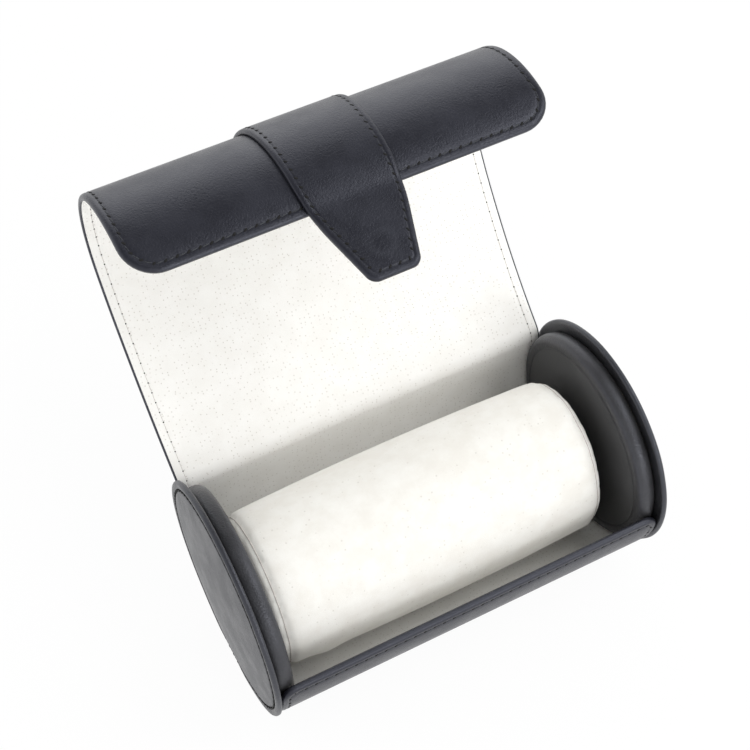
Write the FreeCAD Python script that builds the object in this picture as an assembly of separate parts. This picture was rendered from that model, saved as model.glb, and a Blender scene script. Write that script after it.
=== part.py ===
import FreeCAD, Part
import math
import os
from FreeCAD import Vector

# Travel roll for two watches: a leather cylinder on a small flat foot, shown open.
# A round padded end closes each side. One stiffened wrap runs from the front lip, under
# the foot and up the back, and goes on as the lid, which curls over to a flap with a
# magnet tab. The lid bends everywhere, so it is modelled as seven short stiff sections.
# Frame: origin in the middle of the foot, X along the roll, the lip towards -Y, +Z up.
# Shapes are built about the roll's own axis and moved up when they are saved.

# Case
end_radius = 37.5
case_half_length = 65.4
foot_depth = 2.1
running_gap = 0.3
glue_line = 0.05
overrun = 20.0

# Wrap: lining inside, board in the middle, leather outside
lining_thickness = 0.5
board_thickness = 0.6
leather_thickness = 0.8
wrap_recess = 0.7
lip_height = 1.0
lip_bead_radius = 1.15
lip_corner_radius = 3.0
hinge_rise = 10.6
turned_edge = 0.8

# Padded ends
rim_width = 1.7
rim_round = 0.6
face_dome = 1.7
seam_inset = 2.7
seam_depth = 0.25
drum_width = 5.8
groove_width = 0.35
band_clearance = 0.5
band_crown = 0.9
band_edge_round = 1.3
band_turn_in = 3.2
inner_face_thickness = 0.6

# Lid: lengths along the lining, and the lining's slope at each section's ends in degrees
back_section_length = 17.5
top_section_length = 25.5
flap_length = 26.0
lid_slopes = [37.0, 42.0, 47.0, 51.0, 60.0, 110.0, 163.0, 208.0]
flap_corner_radius = 10.0
section_gap = 0.3

# How far each joint turns to close, and how much further the lid opens, in degrees
closing_turns = [79.5, 21.5, 22.5, 21.5, 4.0, -16.0, -13.0]
extra_opening = 12.0
spare_turn = 1.0
hinge_mitre = 35.0

# Strap and magnet tab
strap_thickness = 1.6
strap_start_width = 33.0
strap_edge_width = 29.0
strap_start_inset = 8.0
tab_length = 25.0
tab_tip_width = 14.5
tab_corner_radius = 3.0
tab_slope = 194.0
tab_mitre = 23.0
tab_leather_thickness = 1.5
tab_backing_thickness = 0.8
magnet_radius = 5.0
magnet_thickness = 0.9
magnet_from_tip = 9.0
catch_length = 30.0
catch_width = 13.0

# Cushion: the room left for a watch over it, for bands in front and behind, and at its ends
watch_room = 8.9
band_room = 9.8
cushion_forward = 0.5
cushion_left_gap = 0.4
cushion_right_gap = 4.4
cushion_seam_inset = 2.8
cushion_cover_thickness = 0.8

# Shares: how wide the cushion is where its ends are sewn and where they flatten out, and
# how far out and round the middle of its rounded end lies
cushion_seam_share = 0.955
cushion_flat_share = 0.85
cushion_bulge_out_share = 0.7
cushion_bulge_up_share = 0.75

# Worked out from the sizes above
foot_drop = end_radius - foot_depth
wrap_thickness = lining_thickness + board_thickness + leather_thickness + 2 * glue_line
wrap_inner_radius = end_radius - wrap_recess - wrap_thickness
foot_cut = foot_depth - wrap_recess
wrap_floor = wrap_inner_radius - foot_cut
rim_inner = case_half_length - rim_width
wrap_half_length = rim_inner - running_gap
band_radius = wrap_inner_radius - band_clearance
drum_inner = rim_inner - drum_width
board_offset = lining_thickness + glue_line
leather_offset = board_offset + board_thickness + glue_line
section_lengths = [back_section_length] * 4 + [top_section_length] * 2 + [flap_length]
section_names = ["back_1", "back_2", "back_3", "back_4", "top_1", "top_2", "flap"]
cushion_length = 2 * drum_inner - cushion_left_gap - cushion_right_gap
cushion_half_depth = wrap_inner_radius - band_room
cushion_half_height = (wrap_inner_radius - watch_room + wrap_floor - running_gap) / 2


def save(name, shape):
    placed = shape.copy()
    placed.translate(Vector(0, 0, foot_drop))
    placed.exportStep("parts/" + name + ".step")
    print(name, len(placed.Solids), "solid", round(placed.Volume), "mm3", placed.isValid())


def face_of(edges):
    return Part.Face(Part.Wire(Part.__sortEdges__(edges)))


def polygon_face(points):
    return Part.Face(Part.makePolygon(points + points[:1]))


def along_roll(face, x_from, x_to):
    # Extrudes a face that lies in the plane x = 0 along the roll
    moved = face.copy()
    moved.translate(Vector(x_from, 0, 0))
    return moved.extrude(Vector(x_to - x_from, 0, 0))


def turned(edges):
    # Turns a profile in the XZ plane round the roll's axis
    return face_of(edges).revolve(Vector(0, 0, 0), Vector(1, 0, 0), 360)


# Round with a flat foot

def foot_round(radius, drop):
    # A disc outline with its lowest part cut flat
    half_width = math.sqrt(radius * radius - drop * drop)
    left = Vector(0, -half_width, -drop)
    right = Vector(0, half_width, -drop)
    top = Vector(0, 0, radius)
    return face_of([Part.Arc(left, top, right).toShape(), Part.makeLine(right, left)])


def foot_disc(radius, drop, x_from, x_to):
    return along_roll(foot_round(radius, drop), x_from, x_to)


def foot_ring(outer, inner, drop, x_from, x_to):
    disc = foot_disc(outer, drop, x_from, x_to)
    hole = foot_disc(inner, drop - (outer - inner), x_from - overrun, x_to + overrun)
    return disc.cut(hole)


# Padded ends, built for the right side and mirrored for the left

def dome_arc(x_rise, x_edge, radius):
    # Part of a sphere with its centre on the roll's axis
    top = Vector(x_edge + x_rise, 0, 0)
    sphere_radius = (radius ** 2 + x_rise ** 2) / (2 * x_rise)
    half = radius / 2
    depth = sphere_radius - math.sqrt(sphere_radius ** 2 - half ** 2)
    return Part.Arc(top, Vector(top.x - depth, 0, half), Vector(x_edge, 0, radius)).toShape()


def end_cover():
    seam_radius = end_radius - seam_inset
    seam_x = case_half_length - seam_depth
    back_x = case_half_length - leather_thickness
    crown_radius = end_radius - rim_round
    crown = Vector(case_half_length, 0, crown_radius)
    bead_start = Vector(case_half_length, 0, seam_radius + rim_round)
    seam = Vector(seam_x, 0, seam_radius)
    edge = Vector(case_half_length - rim_round, 0, end_radius)
    turn = rim_round * (1 - math.sqrt(0.5))
    corner = Vector(case_half_length - turn, 0, end_radius - turn)
    inner_edge = Vector(back_x, 0, end_radius)
    inner_seam = Vector(back_x, 0, seam_radius)
    inner_top = Vector(back_x + face_dome, 0, 0)
    top = Vector(seam_x + face_dome + seam_depth, 0, 0)
    plate = turned([
        dome_arc(face_dome + seam_depth, seam_x, seam_radius),
        Part.makeLine(seam, bead_start),
        Part.makeLine(bead_start, crown),
        Part.Arc(crown, corner, edge).toShape(),
        Part.makeLine(edge, inner_edge),
        Part.makeLine(inner_edge, inner_seam),
        dome_arc(face_dome, back_x, seam_radius),
        Part.makeLine(inner_top, top)])
    trim = foot_disc(end_radius + overrun, foot_drop, rim_inner, case_half_length + overrun)
    skirt = foot_ring(end_radius, end_radius - leather_thickness, foot_drop,
                      rim_inner, back_x)
    return plate.common(trim).fuse(skirt).removeSplitter()


def end_padding():
    flat_x = case_half_length - leather_thickness + glue_line
    radius = end_radius - seam_inset - rim_round
    rise = face_dome - 2 * glue_line
    centre = Vector(flat_x, 0, 0)
    return turned([dome_arc(rise, flat_x, radius),
                   Part.makeLine(Vector(flat_x, 0, radius), centre),
                   Part.makeLine(centre, Vector(flat_x + rise, 0, 0))])


def end_board():
    inset = leather_thickness + glue_line
    return foot_disc(end_radius - inset, foot_drop - inset,
                     rim_inner, case_half_length - leather_thickness)


def drum_core():
    inset = leather_thickness + glue_line
    radius = band_radius - band_crown - inset
    return foot_disc(radius, radius - foot_cut,
                     drum_inner + leather_thickness, rim_inner)


def drum_band():
    # Leather sleeve with a soft crown, turned in over the drum's inner face
    outer_x = rim_inner - groove_width
    edge_radius = band_radius - band_crown
    core_radius = edge_radius - leather_thickness
    crown = Vector((outer_x + drum_inner) / 2, 0, band_radius)
    start = Vector(outer_x, 0, edge_radius)
    end = Vector(drum_inner + band_edge_round, 0, edge_radius)
    turn = band_edge_round * (1 - math.sqrt(0.5))
    corner = Vector(drum_inner + turn, 0, edge_radius - turn)
    rounded = Vector(drum_inner, 0, edge_radius - band_edge_round)
    lip = Vector(drum_inner, 0, band_radius - band_turn_in - band_crown)
    lip_back = lip + Vector(leather_thickness - glue_line, 0, 0)
    core_corner = Vector(lip_back.x, 0, core_radius)
    foot = Vector(outer_x, 0, core_radius)
    band = turned([
        Part.Arc(start, crown, end).toShape(), Part.Arc(end, corner, rounded).toShape(),
        Part.makeLine(rounded, lip), Part.makeLine(lip, lip_back),
        Part.makeLine(lip_back, core_corner), Part.makeLine(core_corner, foot),
        Part.makeLine(foot, start)])
    trim = foot_disc(end_radius, band_radius - foot_cut, drum_inner - overrun, rim_inner)
    hollow = foot_disc(core_radius, core_radius - foot_cut, lip_back.x, rim_inner)
    floor = foot_ring(edge_radius, core_radius, edge_radius - foot_cut,
                      lip_back.x, outer_x)
    return band.common(trim).fuse(floor).cut(hollow).removeSplitter()


def inner_face():
    radius = band_radius - band_turn_in - band_crown - glue_line
    front = drum_inner + leather_thickness - inner_face_thickness - glue_line
    return Part.makeCylinder(radius, inner_face_thickness, Vector(front, 0, 0),
                             Vector(1, 0, 0))


def build_ends():
    makers = {"end_cover": end_cover, "end_padding": end_padding, "end_board": end_board,
              "drum_core": drum_core, "drum_band": drum_band, "inner_face": inner_face}
    for name, maker in makers.items():
        shape = maker()
        save("right_" + name, shape)
        save("left_" + name, shape.mirror(Vector(0, 0, 0), Vector(1, 0, 0)))


# Fixed part of the wrap

def hinge_point():
    return Vector(0, wrap_inner_radius, hinge_rise)


def wrap_layer(inner_offset, outer_offset, lip_top, mitre_trim):
    # One layer of the wrap, from the lip under the foot and up the back to the hinge
    outer = wrap_inner_radius + outer_offset
    inner = wrap_inner_radius + inner_offset
    ring = foot_ring(outer, inner, outer - foot_cut, -wrap_half_length, wrap_half_length)
    length = 2 * wrap_half_length
    span = 2 * end_radius
    below = Part.makeBox(length, span, span, Vector(-wrap_half_length, -end_radius, -span))
    front = Part.makeBox(length, end_radius, lip_top,
                         Vector(-wrap_half_length, -end_radius, 0))
    back = Part.makeBox(length, outer - inner, hinge_rise,
                        Vector(-wrap_half_length, inner, 0))
    layer = ring.common(below.fuse(front)).fuse(back)
    # The top edge at the back slopes away outside, so that the lid can fold back
    base = hinge_point() - Vector(0, 0, mitre_trim)
    slope = math.tan(math.radians(hinge_mitre))
    reach = wrap_thickness + overrun
    wedge = polygon_face([
        base + Vector(0, -reach, reach * slope), base + Vector(0, reach, -reach * slope),
        base + Vector(0, reach, reach), base + Vector(0, -reach, reach * (1 + slope))])
    layer = layer.cut(along_roll(wedge, -end_radius * 2, end_radius * 2))
    for side in (-1, 1):
        layer = layer.cut(lip_corner(side))
    return layer.removeSplitter()


def lip_corner(side):
    # What rounds off one upper corner of the lip
    size = lip_corner_radius
    centre = Vector(side * (wrap_half_length - size), 0, lip_height + lip_bead_radius - size)
    box = Part.makeBox(size + running_gap, end_radius, size + running_gap,
                       Vector(centre.x if side > 0 else centre.x - size - running_gap,
                              -end_radius - leather_thickness, centre.z))
    round_part = Part.makeCylinder(size, end_radius * 2,
                                   Vector(centre.x, -end_radius * 2, centre.z), Vector(0, 1, 0))
    return box.cut(round_part)


def build_base():
    leather = wrap_layer(leather_offset, wrap_thickness, lip_height, section_gap / 2)
    bead_y = -(wrap_inner_radius + wrap_thickness - lip_bead_radius)
    bead = Part.makeCylinder(lip_bead_radius, 2 * wrap_half_length,
                             Vector(-wrap_half_length, bead_y, lip_height), Vector(1, 0, 0))
    for side in (-1, 1):
        bead = bead.cut(lip_corner(side))
    save("base_leather", leather.fuse(bead).removeSplitter())
    under_bead = lip_height - lip_bead_radius - glue_line
    board = wrap_layer(board_offset, leather_offset - glue_line, lip_height, section_gap)
    lining = wrap_layer(0, lining_thickness, lip_height, section_gap)
    clear = Part.makeBox(4 * end_radius, end_radius, end_radius,
                         Vector(-2 * end_radius, -end_radius, under_bead))
    # The steel plate that the tab's magnet holds on to lies in a window in the board
    plate_thickness = board_thickness - 2 * glue_line
    plate_bottom = -wrap_floor - board_offset - board_thickness + glue_line
    plate = Part.makeBox(catch_length, catch_width, plate_thickness,
                         Vector(-catch_length / 2, -catch_width / 2, plate_bottom))
    window = Part.makeBox(catch_length + 2 * glue_line, catch_width + 2 * glue_line, overrun,
                          Vector(-catch_length / 2 - glue_line, -catch_width / 2 - glue_line,
                                 plate_bottom - overrun / 2))
    save("base_board", board.cut(clear).cut(window))
    save("base_lining", lining.cut(clear))
    save("catch_plate", plate)


# Lid sections: short curved plates that hinge on the lining's surface

def lid_sections():
    sections = []
    start = hinge_point()
    for index, length in enumerate(section_lengths):
        slope_in = math.radians(lid_slopes[index])
        slope_out = math.radians(lid_slopes[index + 1])
        radius = length / (slope_out - slope_in)
        centre = start + Vector(0, -math.sin(slope_in), math.cos(slope_in)) * radius
        section = {"start": start, "centre": centre, "radius": radius,
                   "slope_in": slope_in, "slope_out": slope_out}
        start = curve_point(section, slope_out, 0)
        section["end"] = start
        sections.append(section)
    return sections


def curve_point(section, slope, offset):
    # The point of a section with this slope, so far outside the lining
    reach = section["radius"] + offset
    return section["centre"] + Vector(0, math.sin(slope), -math.cos(slope)) * reach


def joint_mitre(index):
    # Half of what the outside of this joint closes up by, over the lid's whole travel
    if index == 0:
        return math.radians(hinge_mitre)
    if index == len(section_lengths):
        return 0
    turn = closing_turns[index]
    folded = max(-turn, turn * extra_opening / closing_turns[0])
    return math.radians((folded + spare_turn) / 2)


def strip(sections, index, inner, outer, half_width, inset=0.0, front_extra=0.0,
          front_mitre=0.0):
    # A plate between two offsets from the lining, trimmed at both joints
    section = sections[index]
    last = index == len(section_lengths) - 1

    def slopes(offset):
        reach = section["radius"] + offset
        trim_in = section_gap / 2 + inset + max(offset, 0) * math.tan(joint_mitre(index))
        trim_out = section_gap / 2 + inset + max(offset, 0) * math.tan(joint_mitre(index + 1))
        if last:
            trim_out = (offset - wrap_thickness) * math.tan(front_mitre) - front_extra
        return section["slope_in"] + trim_in / reach, section["slope_out"] - trim_out / reach

    inner_in, inner_out = slopes(inner)
    outer_in, outer_out = slopes(outer)
    inner_arc = Part.Arc(curve_point(section, inner_in, inner),
                         curve_point(section, (inner_in + inner_out) / 2, inner),
                         curve_point(section, inner_out, inner)).toShape()
    outer_arc = Part.Arc(curve_point(section, outer_in, outer),
                         curve_point(section, (outer_in + outer_out) / 2, outer),
                         curve_point(section, outer_out, outer)).toShape()
    sides = [Part.makeLine(curve_point(section, inner_in, inner),
                           curve_point(section, outer_in, outer)),
             Part.makeLine(curve_point(section, inner_out, inner),
                           curve_point(section, outer_out, outer))]
    return along_roll(face_of([inner_arc, outer_arc] + sides), -half_width, half_width)


def plan_prism(origin, slope, edges):
    # Extrudes a plan, drawn with x across and y along the lid, through the lid
    face = face_of(edges)
    face.rotate(Vector(0, 0, 0), Vector(1, 0, 0), math.degrees(slope))
    through = Vector(0, math.sin(slope), -math.cos(slope)) * (2 * overrun)
    face.translate(origin - through / 2)
    return face.extrude(through)


def rounded_end_plan(base_width, tip_width, length, corner):
    # A plan with straight sides that narrow to a tip at y = length, with round corners
    half_base = base_width / 2
    half_tip = tip_width / 2
    lean = math.atan2(half_base - half_tip, length)
    reach = corner * math.tan((math.pi / 2 - lean) / 2)
    tip = Vector(half_tip, length, 0)
    on_side = tip - Vector(-math.sin(lean), math.cos(lean), 0) * reach
    on_front = tip - Vector(reach, 0, 0)
    centre = on_front - Vector(0, corner, 0)
    middle = centre + (tip - centre) * (corner / (tip - centre).Length)

    def mirrored(point):
        return Vector(-point.x, point.y, 0)

    base = Vector(half_base, 0, 0)
    return [Part.makeLine(base, on_side), Part.Arc(on_side, middle, on_front).toShape(),
            Part.makeLine(on_front, mirrored(on_front)),
            Part.Arc(mirrored(on_front), mirrored(middle), mirrored(on_side)).toShape(),
            Part.makeLine(mirrored(on_side), mirrored(base)),
            Part.makeLine(mirrored(base), base)]


def flap_plan(sections, inset):
    # The flap's outline, with round front corners
    section = sections[-1]
    length = 2 * flap_length
    width = 2 * (wrap_half_length - inset)
    slope = section["slope_out"]
    back = Vector(0, math.cos(slope), math.sin(slope)) * (length + inset)
    plan = rounded_end_plan(width, width, length, flap_corner_radius - inset)
    return plan_prism(section["end"] - back, slope, plan)


def build_lid(sections):
    # The leather is turned in round the board and lining along the lid's edges
    extra = turned_edge
    last = len(section_names) - 1
    lining_width = wrap_half_length - turned_edge
    for index, name in enumerate(section_names):
        plate = strip(sections, index, 0, wrap_thickness, wrap_half_length,
                      front_extra=extra)
        pocket = strip(sections, index, -wrap_thickness, leather_offset, lining_width,
                       inset=-wrap_thickness, front_extra=extra)
        board = strip(sections, index, board_offset, leather_offset - glue_line,
                      lining_width - glue_line, inset=glue_line, front_extra=extra)
        lining = strip(sections, index, 0, lining_thickness, lining_width - glue_line,
                       inset=glue_line, front_extra=extra)
        if index == last:
            plate = plate.common(flap_plan(sections, 0))
            pocket = pocket.common(flap_plan(sections, turned_edge))
            inner_plan = flap_plan(sections, turned_edge + glue_line)
            board = board.common(inner_plan)
            lining = lining.common(inner_plan)
        save("lid_" + name + "_leather", plate.cut(pocket))
        save("lid_" + name + "_board", board)
        save("lid_" + name + "_lining", lining)


# Strap, sewn on outside the last three sections, and the tab with its magnet

def strap_half_width(length_to_edge):
    full = 2 * top_section_length + flap_length - strap_start_inset
    return (strap_edge_width + (strap_start_width - strap_edge_width)
            * length_to_edge / full) / 2


def build_strap(sections):
    to_edge = 2 * top_section_length + flap_length
    for index in range(len(section_names) - 3, len(section_names)):
        section = sections[index]
        length = section_lengths[index]
        middle_slope = (section["slope_in"] + section["slope_out"]) / 2
        middle = curve_point(section, middle_slope, 0)
        at_middle = to_edge - length / 2
        first = index == len(section_names) - 3
        plate = strip(sections, index, wrap_thickness + glue_line,
                      wrap_thickness + strap_thickness, strap_start_width,
                      front_mitre=math.radians(tab_mitre))
        start = length / 2 - strap_start_inset if first else length
        wide = strap_half_width(at_middle + start)
        narrow = strap_half_width(at_middle - length)
        plan = [Vector(-wide, -start, 0), Vector(wide, -start, 0),
                Vector(narrow, length, 0), Vector(-narrow, length, 0)]
        edges = [Part.makeLine(plan[corner], plan[(corner + 1) % 4]) for corner in range(4)]
        save("strap_" + section_names[index],
             plate.common(plan_prism(middle, middle_slope, edges)))
        to_edge -= length


def tab_root(sections):
    return curve_point(sections[-1], sections[-1]["slope_out"], wrap_thickness)


def tab_solid(inner, outer, inset):
    # A flat plate in the tab's own place: x across, y along, z outwards
    slope = math.tan(math.radians(tab_mitre))
    start = section_gap / 2 + inset
    side = polygon_face([
        Vector(0, start + inner * slope, inner), Vector(0, start + outer * slope, outer),
        Vector(0, tab_length + overrun, outer), Vector(0, tab_length + overrun, inner)])
    plate = along_roll(side, -strap_edge_width, strap_edge_width)
    plan = rounded_end_plan(strap_edge_width - 2 * inset, tab_tip_width - 2 * inset,
                            tab_length - inset, tab_corner_radius - inset)
    outline = face_of(plan)
    outline.translate(Vector(0, 0, -overrun))
    return plate.common(outline.extrude(Vector(0, 0, 2 * overrun)))


def place_tab(shape, root):
    # Tips the tab from its own place onto the lid's front edge, outside face out
    placed = shape.copy()
    placed.rotate(Vector(0, 0, 0), Vector(0, 1, 0), 180)
    placed.rotate(Vector(0, 0, 0), Vector(1, 0, 0), tab_slope)
    placed.translate(root)
    return placed


def build_tab(sections):
    root = tab_root(sections)
    total = tab_backing_thickness + glue_line + tab_leather_thickness
    backing = tab_solid(0, tab_backing_thickness, 0)
    leather = tab_solid(tab_backing_thickness + glue_line, total, 0)
    magnet_y = tab_length - magnet_from_tip
    floor = Vector(0, magnet_y, tab_backing_thickness + glue_line)
    hole = Part.makeCylinder(magnet_radius + glue_line, magnet_thickness + glue_line,
                             floor, Vector(0, 0, 1))
    magnet = Part.makeCylinder(magnet_radius, magnet_thickness, floor, Vector(0, 0, 1))
    save("tab_backing", place_tab(backing, root))
    save("tab_leather", place_tab(leather.cut(hole), root))
    save("tab_magnet", place_tab(magnet, root))


# Cushion: a stuffed oval roll with drawn-in ends, sewn along a ring near each end

def cushion_form(shrink):
    # Turned as a round roll with a crown, then stretched to its oval
    half = cushion_length / 2 - shrink
    radius = cushion_half_depth - shrink
    seam_x = cushion_length / 2 - cushion_seam_inset
    flat = radius * cushion_flat_share
    seam = radius * cushion_seam_share
    bulge = Vector(seam_x + (half - seam_x) * cushion_bulge_out_share, 0,
                   flat + (seam - flat) * cushion_bulge_up_share)
    crown = Part.Arc(Vector(-seam_x, 0, seam), Vector(0, 0, radius), Vector(seam_x, 0, seam))
    edges = [crown.toShape()]
    for side in (-1, 1):
        shoulder = Part.Arc(Vector(side * seam_x, 0, seam), Vector(side * bulge.x, 0, bulge.z),
                            Vector(side * half, 0, flat))
        edges.append(shoulder.toShape())
        edges.append(Part.makeLine(Vector(side * half, 0, flat), Vector(side * half, 0, 0)))
    edges.append(Part.makeLine(Vector(-half, 0, 0), Vector(half, 0, 0)))
    stretch = FreeCAD.Matrix()
    stretch.A33 = (cushion_half_height - shrink) / radius
    return turned(edges).transformGeometry(stretch)


def build_cushion():
    outside = cushion_form(0)
    seam = cushion_length / 2 - cushion_seam_inset
    span = 4 * cushion_half_height
    middle = Part.makeBox(2 * seam, span, span, Vector(-seam, -span / 2, -span / 2))
    core_end = seam - glue_line
    core = Part.makeBox(2 * core_end, span, span, Vector(-core_end, -span / 2, -span / 2))
    pieces = {
        "cushion_cover": outside.common(middle).cut(cushion_form(cushion_cover_thickness)),
        "cushion_filling": cushion_form(cushion_cover_thickness + glue_line).common(core)}
    for side, name in ((-1, "cushion_left_end"), (1, "cushion_right_end")):
        start = seam + glue_line
        box = Part.makeBox(span, span, span,
                           Vector(start if side > 0 else -start - span, -span / 2, -span / 2))
        pieces[name] = outside.common(box)
    place = Vector(cushion_left_gap - drum_inner + cushion_length / 2, -cushion_forward,
                   running_gap - wrap_floor + cushion_half_height)
    for name, shape in pieces.items():
        shape.translate(place)
        save(name, shape)


os.makedirs("parts", exist_ok=True)
lid = lid_sections()
build_ends()
build_base()
build_lid(lid)
build_strap(lid)
build_tab(lid)
build_cushion()
for label, section in zip(section_names, lid):
    print("hinge", label, round(section["start"].y, 3), round(section["start"].z + foot_drop, 3))
print("tab hinge", round(tab_root(lid).y, 3), round(tab_root(lid).z + foot_drop, 3))
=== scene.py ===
import bmesh
import bpy
import math
import numpy as np
from mathutils import Matrix, Vector, noise


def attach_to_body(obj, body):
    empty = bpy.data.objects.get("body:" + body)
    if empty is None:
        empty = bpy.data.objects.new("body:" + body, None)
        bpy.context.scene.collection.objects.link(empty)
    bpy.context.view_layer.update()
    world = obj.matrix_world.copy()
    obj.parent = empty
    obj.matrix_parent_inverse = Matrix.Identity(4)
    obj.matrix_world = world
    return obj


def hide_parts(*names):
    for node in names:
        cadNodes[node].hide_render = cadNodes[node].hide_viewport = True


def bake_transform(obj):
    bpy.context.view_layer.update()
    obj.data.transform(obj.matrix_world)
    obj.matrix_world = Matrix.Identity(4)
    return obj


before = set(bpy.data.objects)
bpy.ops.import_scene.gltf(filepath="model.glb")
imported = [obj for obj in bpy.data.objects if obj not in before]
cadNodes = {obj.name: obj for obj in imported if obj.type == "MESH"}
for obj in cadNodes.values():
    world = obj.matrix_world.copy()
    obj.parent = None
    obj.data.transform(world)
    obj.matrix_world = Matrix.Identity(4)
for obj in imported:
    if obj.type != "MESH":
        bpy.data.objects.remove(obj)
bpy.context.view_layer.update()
mm = 0.001
axisZ = 35.4      # height of the roll's axis, in mm like every size below


# small helpers for edit mode

def onlySelect(*pieces):
    if bpy.context.mode != "OBJECT":
        bpy.ops.object.mode_set(mode="OBJECT")
    bpy.ops.object.select_all(action="DESELECT")
    for piece in pieces:
        piece.select_set(True)
    bpy.context.view_layer.objects.active = pieces[0]


def selectAll():
    bpy.ops.mesh.select_all(action="SELECT")


def openEdit(piece, kind="FACE"):
    onlySelect(piece)
    bpy.ops.object.mode_set(mode="EDIT")
    bpy.ops.mesh.select_mode(type=kind)
    selectAll()


def closeEdit():
    bpy.ops.object.mode_set(mode="OBJECT")
    return bpy.context.object


def choose(test, kind="faces"):
    # selects what the test accepts, by its middle and normal
    bpy.ops.mesh.select_mode(type={"faces": "FACE", "edges": "EDGE", "verts": "VERT"}[kind])
    bpy.ops.mesh.select_all(action="DESELECT")
    mesh = bmesh.from_edit_mesh(bpy.context.edit_object.data)
    mesh.normal_update()
    for part in getattr(mesh, kind):
        if kind == "faces":
            middle, normal = part.calc_center_median(), part.normal
        elif kind == "edges":
            middle, normal = (part.verts[0].co + part.verts[1].co) / 2, None
        else:
            middle, normal = part.co, part.normal
        if test(middle, normal):
            part.select_set(True)
    mesh.select_flush_mode()
    bmesh.update_edit_mesh(bpy.context.edit_object.data)


def bisectAll(point, normal, **how):
    selectAll()
    bpy.ops.mesh.bisect(plane_co=point, plane_no=normal, **how)


def cutAway(point, normal, **side):
    # cuts one side off and closes the cut
    bisectAll(point, normal, use_fill=True, **side)


def extrudeBy(move):
    bpy.ops.mesh.extrude_region_move(TRANSFORM_OT_translate={"value": move})


def addObject(name, data):
    made = bpy.data.objects.new(name, data)
    bpy.context.scene.collection.objects.link(made)
    return made


def copyOf(piece, name):
    twin = piece.copy()
    twin.data = piece.data.copy()
    twin.name = name
    bpy.context.scene.collection.objects.link(twin)
    return twin


def discard(*pieces):
    for piece in pieces:
        bpy.data.objects.remove(piece, do_unlink=True)


def toMetres(piece):
    # pieces are drawn in millimetres and scaled once, with their place in the mesh
    piece.data.transform(Matrix.Diagonal((mm, mm, mm, 1)))
    piece.data.update()


def smoothStep(t):
    t = np.clip(t, 0, 1)
    return t * t * (3 - 2 * t)


# materials

def setInputs(tree, node, values):
    # a socket is linked, anything else is set
    for key, value in values.items():
        if isinstance(value, bpy.types.NodeSocket):
            tree.links.new(value, node.inputs[key])
        else:
            node.inputs[key].default_value = value


def addNode(tree, kind, values=None, **settings):
    made = tree.nodes.new(kind)
    for key, value in settings.items():
        setattr(made, key, value)
    setInputs(tree, made, values or {})
    return made


def newGroup(name, inputs, outputs):
    group = bpy.data.node_groups.new(name, "ShaderNodeTree")
    for names, way in ((inputs, "INPUT"), (outputs, "OUTPUT")):
        for label in names:
            kind = "NodeSocketVector" if label == "Vector" else "NodeSocketFloat"
            group.interface.new_socket(label, in_out=way, socket_type=kind)
    return group, group.nodes.new("NodeGroupInput"), group.nodes.new("NodeGroupOutput")


def mathNode(tree, operation, *values):
    return addNode(tree, "ShaderNodeMath", dict(enumerate(values)),
                   operation=operation).outputs[0]


def rangeNode(tree, value, low, high, toLow=0.0, toHigh=1.0):
    return addNode(tree, "ShaderNodeMapRange",
                   {"Value": value, "From Min": low, "From Max": high, "To Min": toLow,
                    "To Max": toHigh}, interpolation_type="SMOOTHSTEP").outputs["Result"]


def spreadNoise(tree, value, toLow=0.0, toHigh=1.0):
    # draws the middle of a noise out to the whole range
    return rangeNode(tree, value, 0.3, 0.7, toLow, toHigh)


def mixColour(tree, factor, first, second):
    return addNode(tree, "ShaderNodeMix", {0: factor, 6: first, 7: second},
                   data_type="RGBA").outputs[2]


def makeGrainGroup():
    # fine leather grain: small rounded cells, creases and a soft unevenness
    group, start, end = newGroup("leatherGrain", ("Vector", "Cells", "Creases"),
                                 ("Height", "Mottle"))
    where = start.outputs["Vector"]
    warp = addNode(group, "ShaderNodeTexNoise",
                   {"Vector": where, "Scale": 300.0, "Detail": 2.0})
    shift = addNode(group, "ShaderNodeVectorMath",
                    {0: warp.outputs["Color"], 1: (0.0008, 0.0008, 0.0008), 2: where},
                    operation="MULTIPLY_ADD").outputs[0]
    cells = addNode(group, "ShaderNodeTexVoronoi",
                    {"Vector": shift, "Scale": start.outputs["Cells"], "Randomness": 0.9},
                    feature="SMOOTH_F1")
    creases = addNode(group, "ShaderNodeTexVoronoi",
                      {"Vector": shift, "Scale": start.outputs["Creases"],
                       "Randomness": 1.0}, feature="DISTANCE_TO_EDGE")
    fine = addNode(group, "ShaderNodeTexNoise",
                   {"Vector": where, "Scale": 2600.0, "Detail": 3.0})
    broad = addNode(group, "ShaderNodeTexNoise",
                    {"Vector": where, "Scale": 95.0, "Detail": 4.0, "Roughness": 0.6})
    pebble = mathNode(group, "MULTIPLY", cells.outputs["Distance"], -1.0)
    crease = rangeNode(group, creases.outputs["Distance"], 0.0, 0.09)
    height = mathNode(group, "MULTIPLY_ADD", crease, 0.35, pebble)
    height = mathNode(group, "MULTIPLY_ADD", fine.outputs["Fac"], 0.6, height)
    setInputs(group, end, {"Height": height, "Mottle": broad.outputs["Fac"]})
    return group


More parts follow.
